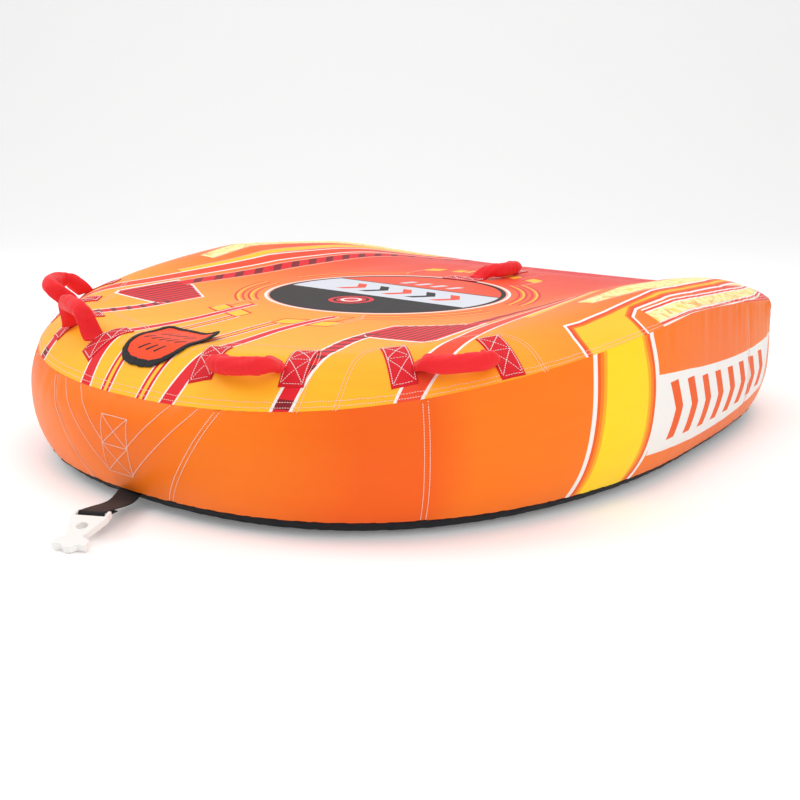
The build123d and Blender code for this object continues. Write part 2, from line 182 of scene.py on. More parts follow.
def signed(place):
    """Distance along the outline from the nose, negative on the -X side."""
    return np.where(place > HALF_RUN, place - LOOP, place)


PANEL_SEAMS = []  # place at the lower and the top seam, as distances along the outline from the nose
for low, high in ((0.125, 0.262), (0.675, 0.675), (1.80, 1.76), (2.50, 2.46)):
    PANEL_SEAMS += [(low, high), (-low, -high)]


# ---------------------------------------------------------------- materials
def socket(shader, name, value):
    shader.inputs[name].default_value = value


def new_material(name, color, rough=0.5, sheen=0.0, coat=0.0, specular=0.3):
    material = bpy.data.materials.new(name)
    material.use_nodes = True
    shader = material.node_tree.nodes["Principled BSDF"]
    socket(shader, "Base Color", (*color, 1))
    socket(shader, "Roughness", rough)
    socket(shader, "Specular IOR Level", specular)
    socket(shader, "Sheen Weight", sheen)
    socket(shader, "Coat Weight", coat)
    return material, material.node_tree.nodes, material.node_tree.links, shader


def bump_node(nodes, links, height, strength, distance):
    bump = nodes.new("ShaderNodeBump")
    socket(bump, "Strength", strength)
    socket(bump, "Distance", distance)
    links.new(height, bump.inputs["Height"])
    return bump


def weave_bump(nodes, links, shader, pitch, strength, fold=0.0):
    """Two crossed thread waves plus broad soft creases."""
    place = nodes.new("ShaderNodeTexCoord")
    total = None
    for direction in ("DIAGONAL", "Z"):
        wave = nodes.new("ShaderNodeTexWave")
        wave.bands_direction = direction
        socket(wave, "Scale", 2 * math.pi / 20 / pitch)
        links.new(place.outputs["Object"], wave.inputs["Vector"])
        if total is None:
            total = wave.outputs["Fac"]
        else:
            both = nodes.new("ShaderNodeMath")
            both.operation = "MAXIMUM"
            links.new(total, both.inputs[0])
            links.new(wave.outputs["Fac"], both.inputs[1])
            total = both.outputs[0]
    bump = bump_node(nodes, links, total, strength, 0.0004)
    if fold:
        noise = nodes.new("ShaderNodeTexNoise")
        socket(noise, "Scale", 9.0)
        socket(noise, "Detail", 3.0)
        links.new(place.outputs["Object"], noise.inputs["Vector"])
        crease = bump_node(nodes, links, noise.outputs["Fac"], fold, 0.01)
        links.new(bump.outputs["Normal"], crease.inputs["Normal"])
        bump = crease
    links.new(bump.outputs["Normal"], shader.inputs["Normal"])


def ramp_color(nodes, links, value, stops):
    ramp = nodes.new("ShaderNodeValToRGB")
    elements = ramp.color_ramp.elements
    while len(elements) < len(stops):
        elements.new(0.5)
    for element, (position, color) in zip(elements, stops):
        element.position = position
        element.color = (*color, 1)
    links.new(value, ramp.inputs["Fac"])
    return ramp.outputs["Color"]


def along_axis(nodes, links, axis, low, high):
    """0 to 1 along an object axis."""
    place = nodes.new("ShaderNodeTexCoord")
    split = nodes.new("ShaderNodeSeparateXYZ")
    links.new(place.outputs["Object"], split.inputs[0])
    scale = nodes.new("ShaderNodeMapRange")
    socket(scale, "From Min", low)
    socket(scale, "From Max", high)
    links.new(split.outputs[axis], scale.inputs["Value"])
    return scale.outputs["Result"]


def mottled(nodes, links, color, shader, amount=0.06):
    """Faint print and dye variation over a colour, which is three numbers or a node's output."""
    noise = nodes.new("ShaderNodeTexNoise")
    socket(noise, "Scale", 14.0)
    socket(noise, "Detail", 5.0)
    mix = nodes.new("ShaderNodeMix")
    mix.data_type = "RGBA"
    mix.blend_type = "OVERLAY"
    mix.inputs["Factor"].default_value = amount * 4
    links.new(noise.outputs["Color"], mix.inputs["B"])
    hue = nodes.new("ShaderNodeMix")
    hue.data_type = "RGBA"
    hue.inputs["Factor"].default_value = 0.35
    for node in (mix, hue):
        if isinstance(color, tuple):
            node.inputs["A"].default_value = (*color, 1)
        else:
            links.new(color, node.inputs["A"])
    links.new(mix.outputs["Result"], hue.inputs["B"])
    links.new(hue.outputs["Result"], shader.inputs["Base Color"])


def print_material(name, stops, axis="Y", low=-0.92, high=0.9, rough=0.42):
    """Printed nylon whose colour runs along an axis."""
    material, nodes, links, shader = new_material(name, stops[0][1], rough, specular=0.1)
    mottled(nodes, links, ramp_color(nodes, links, along_axis(nodes, links, axis, low, high), stops), shader)
    weave_bump(nodes, links, shader, 0.0011, 0.22, fold=0.10)
    return material


def plain_fabric(name, color, rough=0.5, pitch=0.0012, strength=0.3, sheen=0.0, fold=0.08, specular=0.1):
    material, nodes, links, shader = new_material(name, color, rough, sheen, specular=specular)
    mottled(nodes, links, color, shader)
    weave_bump(nodes, links, shader, pitch, strength, fold)
    return material


YELLOW, AMBER, ORANGE = (1.0, 0.49, 0.026), (1.0, 0.35, 0.026), (0.90, 0.20, 0.030)
RED_ORANGE, REAR_RED, RED, DARK_RED = (0.84, 0.09, 0.035), (0.76, 0.035, 0.035), (0.74, 0.018, 0.028), (0.23,
        0.018, 0.026)
# the deep wall orange is the wall orange darkened as painted shade
WALL_ORANGE, WALL_SHADED, PANEL_YELLOW = (0.88, 0.155, 0.008), (0.85, 0.118, 0.008), (1.0, 0.66, 0.02)

deck_print = print_material("deck_print", [(0.0, YELLOW), (0.22, AMBER), (0.42, ORANGE), (0.62, RED_ORANGE),
                                           (0.82, REAR_RED)])
PRINTS = {name: plain_fabric(f"print_{name}", color, rough) for name, color, rough in (
    ("red", RED, 0.45),
    ("dark_red", DARK_RED, 0.45),
    ("flame_red", (0.80, 0.075, 0.03), 0.45),
    ("white", (0.86, 0.83, 0.80), 0.5),
    ("pink", (0.90, 0.36, 0.26), 0.5),
    ("yellow", (1.0, 0.54, 0.035), 0.45),
    ("bright_yellow", PANEL_YELLOW, 0.4),
    ("black", (0.022, 0.019, 0.020), 0.5),
    ("grey", (0.66, 0.68, 0.74), 0.5),
    ("disc_orange", (0.80, 0.085, 0.035), 0.45),
    ("orange", (0.93, 0.22, 0.02), 0.45),
    ("deep_orange", (0.84, 0.115, 0.014), 0.45),
    ("amber", (0.98, 0.40, 0.02), 0.42),
)}


def camo_material():
    """Pale yellow flame print in blotches."""
    material, nodes, links, shader = new_material("print_flames", (0.9, 0.75, 0.3), 0.5, specular=0.1)
    place = nodes.new("ShaderNodeTexCoord")
    noise = nodes.new("ShaderNodeTexNoise")
    socket(noise, "Scale", 24.0)
    socket(noise, "Detail", 1.5)
    socket(noise, "Distortion", 2.2)
    links.new(place.outputs["Object"], noise.inputs["Vector"])
    stops = [(0.36, (0.93, 0.66, 0.16)), (0.45, (0.86, 0.80, 0.36)), (0.54, (0.93, 0.86, 0.50)),
             (0.60, (0.80, 0.74, 0.28)), (0.68, (0.95, 0.45, 0.16))]
    links.new(ramp_color(nodes, links, noise.outputs["Fac"], stops), shader.inputs["Base Color"])
    weave_bump(nodes, links, shader, 0.0011, 0.2, fold=0.1)
    return material


PRINTS["camo"] = camo_material()
webbing_red = plain_fabric("webbing_red", (0.66, 0.012, 0.022), 0.55, pitch=0.0022, strength=0.8, sheen=0.05)
sleeve_red = plain_fabric("sleeve_red", (0.80, 0.022, 0.028), 0.5, pitch=0.0013, strength=0.35, sheen=0.06,
        fold=0.35)
webbing_black = plain_fabric("webbing_black", (0.016, 0.014, 0.015), 0.6, pitch=0.0024, strength=0.9,
        sheen=0.08)
base_black = plain_fabric("base_black", (0.013, 0.013, 0.016), 0.6, pitch=0.0018, strength=0.5)
thread_pale = plain_fabric("thread_pale", (0.92, 0.62, 0.52), 0.6, pitch=0.0006)
thread_white = plain_fabric("thread_white", (0.88, 0.84, 0.82), 0.6, pitch=0.0006)


def plastic(name, color, rough, coat=0.1, scale=300.0, strength=0.15, depth=0.0005):
    """Hard plastic with a fine moulded grain."""
    material, nodes, links, shader = new_material(name, color, rough, coat=coat)
    grain = nodes.new("ShaderNodeTexNoise")
    socket(grain, "Scale", scale)
    bump = bump_node(nodes, links, grain.outputs["Fac"], strength, depth)
    links.new(bump.outputs["Normal"], shader.inputs["Normal"])
    return material


hook_white = plastic("hook_plastic", (0.83, 0.82, 0.79), 0.38, 0.15, 260.0, 0.12, 0.0006)


# ---------------------------------------------------------------- mesh helpers
def new_piece(name, verts, faces, materials, indices=None):
    mesh = bpy.data.meshes.new(name)
    mesh.from_pydata([tuple(map(float, v)) for v in verts], [], [tuple(map(int, f)) for f in faces])
    for material in materials:
        mesh.materials.append(material)
    if indices is not None:
        mesh.polygons.foreach_set("material_index", [int(i) for i in indices])
    mesh.polygons.foreach_set("use_smooth", [True] * len(mesh.polygons))
    mesh.update()
    piece = bpy.data.objects.new(name, mesh)
    bpy.context.scene.collection.objects.link(piece)
    return piece


def grid_faces(rows, cols, round_cols=False, round_rows=False):
    """Four-sided faces over rows of cols vertices; a round side joins its last to its first."""
    return [(r * cols + c, r * cols + (c + 1) % cols, (r + 1) % rows * cols + (c + 1) % cols,
            (r + 1) % rows * cols + c)
            for r in range(rows if round_rows else rows - 1) for c in range(cols if round_cols else cols - 1)]


def resample(points, pitch, close=True):
    """Points along a polyline no further apart than pitch, its corners kept."""
    points = [tuple(p) for p in points]
    ends = points[1:] + points[:1] if close else points[1:]
    result = []
    for (x0, y0), (x1, y1) in zip(points, ends):
        count = max(1, math.ceil(math.hypot(x1 - x0, y1 - y0) / pitch))
        result += [(x0 + (x1 - x0) * i / count, y0 + (y1 - y0) * i / count) for i in range(count)]
    return result if close else result + [points[-1]]


def smooth_line(points, pitch=0.012):
    """An open smooth curve through given points."""
    p = [np.array(q, float) for q in points]
    p = [2 * p[0] - p[1]] + p + [2 * p[-1] - p[-2]]
    result = []
    for a, b, c, d in zip(p, p[1:], p[2:], p[3:]):
        count = max(2, int(np.linalg.norm(c - b) / pitch))
        for i in range(count):
            t = i / count
            result.append(tuple(0.5 * (2 * b + (c - a) * t + (2 * a - 5 * b + 4 * c - d) * t**2
                                       + (3 * b - a - 3 * c + d) * t**3)))
    return result + [tuple(p[-2])]


def ribbon(line, width):
    """A band of a width along a line, as a closed outline; width may be a pair, start and end."""
    widths = width if isinstance(width, tuple) else (width, width)
    p = np.array(line, float)
    way = np.gradient(p, axis=0)
    way /= np.linalg.norm(way, axis=1)[:, None]
    side = np.stack([-way[:, 1], way[:, 0]], 1)
    half = np.linspace(widths[0], widths[1], len(p))[:, None] / 2
    return [tuple(q) for q in p + side * half] + [tuple(q) for q in (p - side * half)[::-1]]


def shrunk(polygon, depth):
    """A polygon with its edges moved inwards by a depth."""
    p = np.array(polygon, float)
    way = np.roll(p, -1, 0) - p
    way /= np.linalg.norm(way, axis=1)[:, None]
    out = np.stack([way[:, 1], -way[:, 0]], 1)
    area2 = np.sum(p[:, 0] * np.roll(p[:, 1], -1) - np.roll(p[:, 0], -1) * p[:, 1])
    out *= np.sign(area2)  # away from the inside, whichever way round the points run
    both = out + np.roll(out, 1, 0)
    both /= np.maximum(np.sum(both * out, 1), 0.3)[:, None]
    return [tuple(q) for q in p - both * depth]


def disc(cx, cy, radius, start=0, end=360, count=72):
    return [(cx + radius * math.cos(math.radians(a)), cy + radius * math.sin(math.radians(a)))
            for a in np.linspace(start, end, count, endpoint=end - start < 360)]


def inside(px, py, polygon):
    """Which points lie in a polygon."""
    hit = np.zeros(px.shape, bool)
    x0, y0 = polygon[-1]
    for x1, y1 in polygon:
        if y1 != y0:
            hit ^= ((y1 > py) != (y0 > py)) & (px < (x0 - x1) * (py - y1) / (y0 - y1) + x1)
        x0, y0 = x1, y1
    return hit


def printed_sheet(name, border, regions, spacing, lift, ground, edge_pitch=0.01):
    """A triangulated sheet whose edges follow every printed region, on a ground material.

    lift turns plan points into 3-D points."""
    verts, edges = [], []
    for polygon in [border] + [shape for shape, _ in regions]:
        pts = resample(polygon, edge_pitch)
        first = len(verts)
        verts += [Vector(p) for p in pts]
        edges += [(first + i, first + (i + 1) % len(pts)) for i in range(len(pts))]
    low, high = np.min(border, 0), np.max(border, 0)
    row = 0
    y = low[1] + spacing / 2
    while y < high[1]:
        xs = np.arange(low[0] + (spacing / 2 if row % 2 else 0), high[0], spacing)
        keep = xs[inside(xs, np.full(xs.shape, y), border)]
        verts += [Vector((x, y)) for x in keep]
        y += spacing * 0.87
        row += 1
    out_verts, _, faces, *_ = delaunay_2d_cdt(verts, edges, [], 0, 1e-6)
    plan = np.array([tuple(v) for v in out_verts])
    tri = np.array([f for f in faces if len(f) == 3])
    centre = plan[tri].mean(1)
    keep = inside(centre[:, 0], centre[:, 1], border)
    for polygon, material in regions:
        if material == "hole":
            keep &= ~inside(centre[:, 0], centre[:, 1], polygon)
    tri, centre = tri[keep], centre[keep]
    names = ["base"] + sorted({material for _, material in regions} - {"hole"})
    index = np.zeros(len(tri), int)
    for polygon, material in regions:
        if material != "hole":
            index[inside(centre[:, 0], centre[:, 1], polygon)] = names.index(material)
    used = np.unique(tri)
    renumber = np.full(len(plan), -1)
    renumber[used] = np.arange(len(used))
    return new_piece(name, lift(plan[used]), renumber[tri], [ground] + [PRINTS[n] for n in names[1:]], index)


def mirror(regions):
    """The same regions on both sides of the centre line."""
    return [item for shape, material in regions
            for item in ((shape, material), ([(-x, y) for x, y in shape], material))]


# ---------------------------------------------------------------- deck print
EMBLEM = (0.0, -0.100)
EMBLEM_R = 0.292


def edged(line, width, material, trim="white", edge=0.0045):
    """A stripe with thin light edges."""
    total = (width[0] + 2 * edge, width[1] + 2 * edge) if isinstance(width, tuple) else width + 2 * edge
    return [(ribbon(line, total), trim), (ribbon(line, width), material)]


def deck_regions():
    side = []
    # the outer flank: flames, yellow and red bands
    flank = smooth_line([(0.60, -0.16), (0.625, 0.0), (0.63, 0.2), (0.61, 0.42), (0.56, 0.62), (0.47, 0.78)])
    side += [(ribbon(flank, (0.05, 0.17)), "pink"), (ribbon(flank, (0.04, 0.158)), "camo")]
    inner_band = smooth_line([(0.545, -0.30), (0.535, -0.1), (0.54, 0.1), (0.54, 0.3), (0.52, 0.5),
            (0.455, 0.72), (0.40, 0.86)])
    side += edged(inner_band, 0.020, "yellow", "pink", 0.004)
    edge_flames = smooth_line([(0.742, -0.125), (0.745, 0.0), (0.736, 0.15), (0.718, 0.3), (0.690, 0.46),
            (0.64, 0.60)])
    side += [(ribbon(edge_flames, (0.058, 0.040)), "white"),
            (ribbon(edge_flames, (0.050, 0.032)), "flame_red"),
             (ribbon(edge_flames, (0.038, 0.024)), "white"), (ribbon(edge_flames, (0.031, 0.018)), "camo")]
    # the bright panel that comes up over the edge from the wall
    panel = [(0.82, -0.395), (0.74, -0.372), (0.690, -0.352), (0.652, -0.328), (0.662, -0.29), (0.668, -0.20),
             (0.668, -0.05), (0.660, 0.12), (0.640, 0.30), (0.600, 0.48), (0.540, 0.64), (0.465, 0.78),
            (0.490, 0.80),
             (0.575, 0.67), (0.640, 0.51), (0.682, 0.32), (0.704, 0.12), (0.712, -0.03), (0.708, -0.13),
            (0.722, -0.165),
             (0.82, -0.200)]
    for depth, material in ((0.0, "white"), (0.006, "flame_red"), (0.011, "deep_orange"), (0.015, "orange"),
            (0.019, "yellow")):
        side.append((shrunk(panel, depth), material))
    # wide stripe that runs under the outer handle and back beside the long stripe
    wide = smooth_line([(0.585, -0.79), (0.563, -0.70), (0.552, -0.60), (0.538, -0.50), (0.522, -0.40),
            (0.512, -0.25),
                        (0.503, 0.0), (0.50, 0.3), (0.485, 0.5), (0.43, 0.72), (0.37, 0.88)])
    side += edged(wide, (0.036, 0.026), "flame_red", "white", 0.005)
    # the long dashed stripe with its hatched shoulder
    lead = smooth_line([(0.375, -0.87), (0.372, -0.80), (0.360, -0.71), (0.328, -0.61), (0.321, -0.53),
            (0.326, -0.47)])
    side += edged(lead, (0.030, 0.030), "red", "white", 0.006)
    shoulder = [(0.328, -0.552), (0.478, -0.556), (0.492, -0.535), (0.480, -0.36), (0.430, -0.362),
            (0.306, -0.436), (0.304, -0.53)]
    grown = [(0.331, -0.559), (0.481, -0.563), (0.499, -0.537), (0.487, -0.354), (0.426, -0.356),
            (0.300, -0.432), (0.300, -0.53)]
    side += [(grown, "white"), (shoulder, "red")]
    for i in range(9):
        x = 0.322 + 0.0185 * i
        low, high = -0.55, -0.428 + 0.60 * min(x - 0.306, 0.115)
        side.append(([(x, low), (x + 0.007, low), (x + 0.007, high), (x, high - 0.004)], "dark_red"))
    long_line = smooth_line([(0.458, -0.37), (0.452, -0.2), (0.450, 0.0), (0.452, 0.2), (0.447, 0.42),
            (0.412, 0.62), (0.35, 0.80), (0.32, 0.90)])
    side += edged(long_line, 0.032, "red", "pink", 0.005)
    for i in range(17):
        y = -0.350 + 0.070 * i
        low, high = (float(np.interp(v, [q[1] for q in long_line], [q[0] for q in long_line])) for v in (y,
                y + 0.05))
        side.append(([(low - 0.015, y), (high + 0.015, y + 0.036), (high + 0.015, y + 0.066),
                (low - 0.015, y + 0.030)],
                     "dark_red"))
    for i in range(10):
        y = -0.85 + 0.034 * i
        x = float(np.interp(y + 0.012, [q[1] for q in lead], [q[0] for q in lead]))
        side.append(([(x - 0.015, y), (x + 0.015, y + 0.012), (x + 0.015, y + 0.026),
                (x - 0.015, y + 0.014)], "dark_red"))
    # thick red stripe and the thin pair near the middle of the nose
    thick = smooth_line([(0.122, -0.93), (0.140, -0.87), (0.146, -0.79), (0.133, -0.69), (0.122, -0.60),
            (0.124, -0.50), (0.130, -0.43)])
    side += edged(thick, (0.030, 0.016), "red", "white", 0.004)
    thin = smooth_line([(0.055, -0.93), (0.062, -0.86), (0.068, -0.78), (0.066, -0.69), (0.063, -0.60),
            (0.064, -0.55)])
    side += [(ribbon(thin, 0.031), "white"), (ribbon(thin, 0.024), "red"), (ribbon(thin, 0.009), "yellow")]
    # small circuit boxes, in front of and behind the round emblem
    for flip, shift in ((1, 0.0), (-1, -0.200)):
        def place(points):
            return [(x, flip * y + shift) for x, y in points]
        side += [(place([(0.052, -0.560), (0.110, -0.542), (0.110, -0.486), (0.052, -0.508)]), "red"),
                 (place([(0.057, -0.553), (0.106, -0.537), (0.106, -0.494), (0.057, -0.512)]), "yellow"),
                 (place([(0.138, -0.540), (0.190, -0.520), (0.190, -0.462), (0.138, -0.482)]), "red"),
                 (place([(0.143, -0.532), (0.186, -0.515), (0.186, -0.470), (0.143, -0.488)]), "yellow")]
        side += [(place(ribbon([(0.188, -0.50), (0.190, -0.41), (0.165, -0.375)], 0.005)), "pink"),
                 (place(ribbon([(0.168, -0.47), (0.169, -0.41)], 0.004)), "red"),
                 (place(ribbon([(0.136, -0.425), (0.169, -0.41)], 0.004)), "red")]
    # behind the emblem: thin lines running aft
    for x in (0.035, 0.075, 0.118):
        aft = smooth_line([(x, 0.30), (x, 0.42), (x + 0.02, 0.52), (x + 0.075, 0.66), (x + 0.12, 0.80),
                (x + 0.13, 0.90)])
        side += [(ribbon(aft, 0.010), "pink"), (ribbon(aft, 0.006), "red")]
    regions = mirror(side)
    # concentric rings at the front and the back of the emblem
    cx, cy = EMBLEM
    for start, end in ((-170, -122), (-58, -10), (8, 60), (120, 172)):
        for radius, material in ((0.374, "red"), (0.367, "yellow"), (0.356, "red"), (0.342, "red"),
                                 (0.335, "yellow"), (0.324, "red")):
            arc = disc(cx, cy, radius, start, end, 30)
            regions.append((ribbon(arc, 0.005), material))
    regions += [(disc(cx, cy, EMBLEM_R + 0.012), "white"), (disc(cx, cy, EMBLEM_R + 0.005), "pink"),
                (disc(cx, cy, EMBLEM_R), "black")]
    # a light band across the disc, an orange field behind it, and plain racing chevrons on the band
    inner = EMBLEM_R - 0.012
    front, back = -0.055, 0.110
    a, b = math.degrees(math.asin(front / inner)), math.degrees(math.asin(back / inner))
    band = disc(cx, cy, inner, a, b, 14) + disc(cx, cy, inner, 180 - b, 180 - a, 14)
    regions.append((band, "grey"))
    b2 = math.degrees(math.asin((back + 0.006) / inner))
    regions.append((disc(cx, cy, inner, b2, 180 - b2, 40), "disc_orange"))
    for i in range(5):
        x = cx - 0.16 + 0.075 * i
        y0 = cy + 0.028
        regions.append(([(x, y0 - 0.045), (x + 0.028, y0 - 0.045), (x + 0.062, y0), (x + 0.028, y0 + 0.045),
                         (x, y0 + 0.045), (x + 0.034, y0)], "black" if i % 2 else "flame_red"))
    for i in range(4):
        x = cx - 0.085 + 0.05 * i
        y0 = cy + 0.165
        regions.append(([(x, y0 - 0.02), (x + 0.02, y0 - 0.02), (x + 0.034, y0 + 0.02),
                (x + 0.014, y0 + 0.02)], "grey"))
    for radius, material in ((0.055, "red"), (0.044, "black"), (0.036, "red"), (0.026, "white"),
            (0.018, "red")):
        regions.append((disc(cx, cy - 0.135, radius, count=40), material))
    return regions


inset = seam_inset(outline[:, 1])
seam_line = outline - normal * inset[:, None]
deck_border = [tuple(p) for p in seam_line[::4]]


def lift_deck(plan):
    return np.column_stack([plan, deck_height(plan[:, 0], plan[:, 1])])


VALVE_HOLE = (disc(0.0, -0.800, 0.033, count=40), "hole")
deck = printed_sheet("deck_cover", deck_border, deck_regions() + [VALVE_HOLE], 0.013, lift_deck, deck_print)
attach(deck, "tube")
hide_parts("top_cover")


# ---------------------------------------------------------------- wall print
WALL_V = 0.30  # the wall's height in the flat print


def wall_shape(points):
    return [(s, t * WALL_V) for s, t in points]


def wall_regions():
    side = []

    def panel(material, left, right):
        side.append((wall_shape(smooth_line(left) + smooth_line(right)[::-1]), material))
    left = [(1.010, -0.02), (1.030, 0.25), (1.048, 0.6), (1.052, 1.02)]
    right = [(1.205, -0.02), (1.232, 0.2), (1.252, 0.5), (1.250, 0.75), (1.228, 1.02)]

    def moved(points, shift):
        return [(s + shift, t) for s, t in points]
    panel("white", moved(left, -0.005), moved(right, 0.006))
    for step, material in ((0.007, "deep_orange"), (0.016, "orange"), (0.025, "amber"),
            (0.034, "bright_yellow")):
        panel(material, moved(left, step), moved(right, -step))
    band = [(1.252, 0.70), (1.33, 0.665), (1.45, 0.625), (1.60, 0.61), (1.75, 0.62), (1.90, 0.66),
            (2.00, 0.70)]
    base = [(1.238, 0.155), (1.35, 0.135), (1.50, 0.12), (1.65, 0.135), (1.80, 0.175), (1.94, 0.24)]
    side.append((wall_shape(smooth_line(band) + smooth_line(base)[::-1]), "white"))
    for i in range(8):
        s = 1.305 + 0.078 * i
        low = float(np.interp(s, [p[0] for p in base], [p[1] for p in base])) + 0.075
        high = float(np.interp(s, [p[0] for p in band], [p[1] for p in band])) - 0.065
        mid = (low + high) / 2
        side.append((wall_shape([(s, low), (s + 0.034, low), (s + 0.062, mid), (s + 0.034, high), (s, high),
                                 (s + 0.028, mid)]), "deep_orange"))
    return mirror(side)


def wall_print():
    """Orange in lighter and deeper tones by place along the tube: a painted highlight in a lighter band near
    the nose, and painted shade in a deeper zone behind it.
    """
    material, nodes, links, shader = new_material("wall_print", WALL_ORANGE, 0.38, specular=0.16)
    value = along_axis(nodes, links, "Y", -0.95, 0.95)
    # the lighter and the deep wall orange are one wall colour as painted highlight and painted shade
    lit_orange = (0.91, 0.185, 0.009)
    stops = [(0.0, WALL_ORANGE), (0.012, lit_orange), (0.03, lit_orange), (0.09, WALL_SHADED), (0.14, WALL_SHADED),
             (0.18, lit_orange), (0.42, lit_orange), (0.60, WALL_ORANGE), (0.80, lit_orange), (1.0, WALL_ORANGE)]
    mottled(nodes, links, ramp_color(nodes, links, value, stops), shader, 0.04)
    weave_bump(nodes, links, shader, 0.0011, 0.2, fold=0.10)
    return material


def lift_wall(plan):
    return wall_point(plan[:, 0] % LOOP, np.clip(plan[:, 1] / WALL_V, 0, 1))


wall_border = [(-HALF_RUN, 0), (HALF_RUN, 0), (HALF_RUN, WALL_V), (-HALF_RUN, WALL_V)]
wall = printed_sheet("wall_cover", wall_border, wall_regions(), 0.014, lift_wall, wall_print())
PANELS = ("front", "front_right", "right", "rear_right", "rear", "rear_left", "left", "front_left")
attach(wall, "tube")
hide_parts(*[f"side_panel_{name}" for name in PANELS])

# ---------------------------------------------------------------- black base
# each row round the base: how far inside the outline, and how high
BASE_ROWS = ((0.0335, 0.0365), (0.034, 0.034), (0.042, 0.026), (0.055, 0.015), (0.075, 0.005), (0.100, 0.0),
        (0.16, 0.0))
verts = []
count = 480
around = np.linspace(0, LOOP, count, endpoint=False)
ox, oy = np.interp(around, run, closed[:, 0]), np.interp(around, run, closed[:, 1])
onx, ony = np.interp(around, run, closed_normal[:, 0]), np.interp(around, run, closed_normal[:, 1])
for row, (gap, z) in enumerate(BASE_ROWS):
    wobble = 0.0018 * puckers(around, 11) * (0 < row < 5)
    for x, y, nx, ny, w in zip(ox, oy, onx, ony, wobble):
        verts.append((x - nx * (gap - w), y - ny * (gap - w), z))
faces = grid_faces(len(BASE_ROWS), count, round_cols=True)
last = (len(BASE_ROWS) - 1) * count
faces += [(last + i, last + (i + 1) % count, len(verts)) for i in range(count)]
verts.append((0, 0, 0))
base = new_piece("base_cover", verts, faces, [base_black])
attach(base, "tube")
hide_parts("bottom_cover")


# ---------------------------------------------------------------- stitching
def stitches(name, lines, material, pitch=0.0058, length=0.0049, width=0.0015, height=0.0008):
    """Rows of short raised threads. Each line is points and normals along it."""
    verts, faces = [], []
    for points, normals in lines:
        points, normals = np.array(points), np.array(normals)
        length_so_far = np.concatenate([[0], np.cumsum(np.linalg.norm(np.diff(points, axis=0), axis=1))])
        for k in range(int(length_so_far[-1] / pitch)):
            ends = [np.array([np.interp(d, length_so_far, points[:, i]) for i in range(3)])
                    for d in (k * pitch, k * pitch + length)]
            up = np.array([np.interp(k * pitch, length_so_far, normals[:, i]) for i in range(3)])
            up /= np.linalg.norm(up)
            way = ends[1] - ends[0]
            if np.linalg.norm(way) < 1e-5:
                continue
            side = np.cross(way / np.linalg.norm(way), up) * width / 2
            first = len(verts)
            for share, lift, spread in ((0, -0.0003, 0.5), (0.3, height, 1), (0.7, height, 1),
                    (1, -0.0003, 0.5)):
                centre = ends[0] + way * share + up * lift
                verts += [centre - side * spread, centre + side * spread]
            for row in range(3):
                a = first + row * 2
                faces.append((a, a + 1, a + 3, a + 2))
    piece = new_piece(name, verts, faces, [material])
    thick = piece.modifiers.new("thread", "SOLIDIFY")
    thick.thickness = 0.0005
    thick.offset = -1
    return piece


def deck_line(points):
    """A plan line laid on the deck, with upward normals."""
    p = np.array(resample(points, 0.006, close=False))
    z = deck_height(p[:, 0], p[:, 1])
    e = 0.004
    dx = (deck_height(p[:, 0] + e, p[:, 1], False) - deck_height(p[:, 0] - e, p[:, 1], False)) / (2 * e)
    dy = (deck_height(p[:, 0], p[:, 1] + e, False) - deck_height(p[:, 0], p[:, 1] - e, False)) / (2 * e)
    return np.column_stack([p, z]), np.column_stack([-dx, -dy, np.ones(len(p))])


def wall_line(points, out=0.0003):
    p = np.array(resample([(s, t * WALL_V) for s, t in points], 0.006, close=False))
    place, share = p[:, 0] % LOOP, p[:, 1] / WALL_V
    at = wall_point(place, share, out)
    above = wall_point(place, share + 0.01, out)
    beside = wall_point(place + 0.004, share, out)
    return at, np.cross(beside - at, above - at)


def both_sides(lines):
    return [q for line in lines for q in (line, [(-x, y) for x, y in line])]


deck_stitch_lines = []
for gap in (0.0045, 0.0115):
    loop = outline[::3] - normal[::3] * (inset[::3] + gap)[:, None]
    deck_stitch_lines.append(deck_line([tuple(p) for p in loop] + [tuple(loop[0])]))
panel_lines = []  # double stitched edges of the doubled cloth under the handles
for offset in (0.0, 0.008):
    panel_lines += [[(0.102 - offset, -0.842), (0.128, -0.748 + offset), (0.325, -0.690 + offset)],
                    [(0.325, -0.690 + offset), (0.372 + offset, -0.75), (0.402 + offset, -0.845)],
                    [(0.470 - offset, -0.800), (0.440 - offset, -0.640 + offset), (0.562, -0.458 + offset)],
                    [(0.562, -0.458 + offset), (0.64, -0.450 + offset), (0.712, -0.474 + offset)]]
deck_stitch_lines += [deck_line(smooth_line(line)) for line in both_sides(panel_lines)]
stitched = stitches("stitching_deck", deck_stitch_lines, thread_pale, pitch=0.0052, length=0.0038)
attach(stitched, "tube")

wall_lines = []
for seam in PANEL_SEAMS[::2]:
    for shift in (-0.0055, 0.0055):
        wall_lines.append([(seam[0] + shift, 0.01), (seam[1] + shift, 0.99)])
wall_lines += [[(0.215, 0.99), (0.034, 0.20)], [(0.145, 0.99), (0.034, 0.50)]]
wall_lines = both_sides(wall_lines)
BOX_X, BOX_T = 0.040, (0.80, 0.50, 0.20)
for x in (-BOX_X, BOX_X):
    wall_lines.append([(x, BOX_T[0]), (x, BOX_T[2])])
for t in BOX_T:
    wall_lines.append([(-BOX_X, t), (BOX_X, t)])
for high, low in zip(BOX_T, BOX_T[1:]):
    wall_lines += [[(-BOX_X, high), (BOX_X, low)], [(BOX_X, high), (-BOX_X, low)]]
stitched = stitches("stitching_wall", [wall_line(line) for line in wall_lines], thread_pale, pitch=0.0052,
        length=0.0047, width=0.0019)
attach(stitched, "tube")

# ---------------------------------------------------------------- grab handles
WEBBING = 0.051
AXIS_SHARE, AXIS_GAP = 0.70, 0.025
GRIP_SHOULDER, GRIP_BEND = 0.27, 0.058
